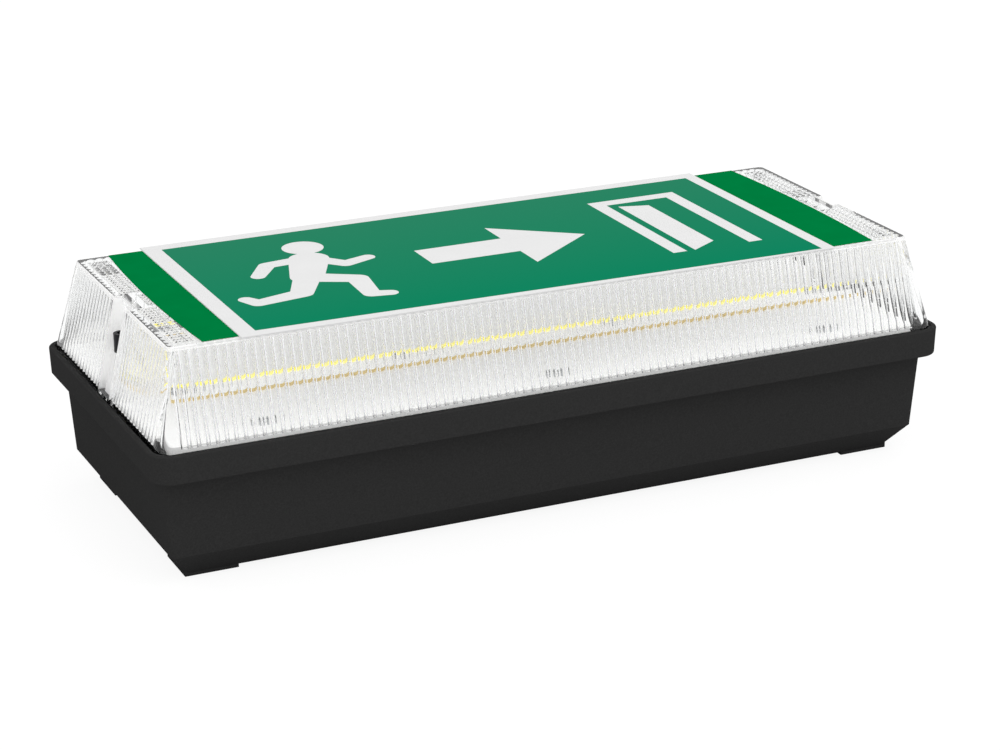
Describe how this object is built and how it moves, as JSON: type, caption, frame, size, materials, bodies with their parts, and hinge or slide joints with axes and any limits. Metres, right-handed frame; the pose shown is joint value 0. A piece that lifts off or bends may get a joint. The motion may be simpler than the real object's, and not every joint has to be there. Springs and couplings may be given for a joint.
{
  "type": "illuminated exit sign",
  "caption": "Self-contained illuminated exit sign: black moulded housing, clear fluted cover with a lit strip inside, and a green and white sign plate on top.",
  "frame": {"origin": "centre of the outline, on the plane that the four feet rest on", "axes": "+X along the length, +Z from the back with its feet towards the sign plate"},
  "size_m": [0.37, 0.16, 0.1026],
  "materials": {
    "black_plastic": "fine moulded texture",
    "clear_plastic": "clear, polished, fluted inside",
    "seal_rubber": "matt",
    "sign_print": "printed sheet, satin",
    "green_film": "coloured film, satin",
    "white_tray": "white powder coat",
    "zinc_steel": "zinc plated",
    "dark_steel": "blackened",
    "white_board": "white solder mask",
    "emitter": "phosphor",
    "green_board": "green solder mask",
    "cell_sleeve": "shrink sleeve",
    "white_plastic": "moulded",
    "ferrite": "matt",
    "capacitor_sleeve": "shrink sleeve",
    "film_box": "cast box",
    "fuse_glass": "clear tube",
    "spring_steel": "plain",
    "aluminium": "extruded"
  },
  "bodies": {
    "root": {"base_housing": "black_plastic", "rim_seal": "seal_rubber", "diffuser_cover": "clear_plastic", "cover_screw_left": "dark_steel", "cover_screw_right": "dark_steel", "screw_seal_left": "seal_rubber", "screw_seal_right": "seal_rubber", "green_film": "green_film", "sign_plate": "sign_print", "gear_tray": "white_tray", "tray_screws": "zinc_steel", "led_board": "white_board", "led_emitters": "emitter", "led_board_screws": "zinc_steel", "battery_holder": "white_plastic", "holder_screws": "zinc_steel", "battery_cell_1": "cell_sleeve", "battery_cell_2": "cell_sleeve", "battery_cell_3": "cell_sleeve", "battery_cell_4": "cell_sleeve", "battery_strap_left": "spring_steel", "battery_strap_right": "spring_steel", "driver_board": "green_board", "driver_screws": "zinc_steel", "transformer": "ferrite", "mains_capacitor": "capacitor_sleeve", "output_capacitor": "capacitor_sleeve", "film_capacitor": "film_box", "fuse": "fuse_glass", "fuse_clips": "spring_steel", "heat_sink": "aluminium", "power_transistor": "capacitor_sleeve", "mains_socket": "white_plastic", "battery_socket": "white_plastic", "led_socket": "white_plastic", "terminal_block": "white_plastic", "terminal_screws": "zinc_steel", "cable_grommet": "seal_rubber", "blanking_plug": "seal_rubber"}
  },
  "joints": []
}
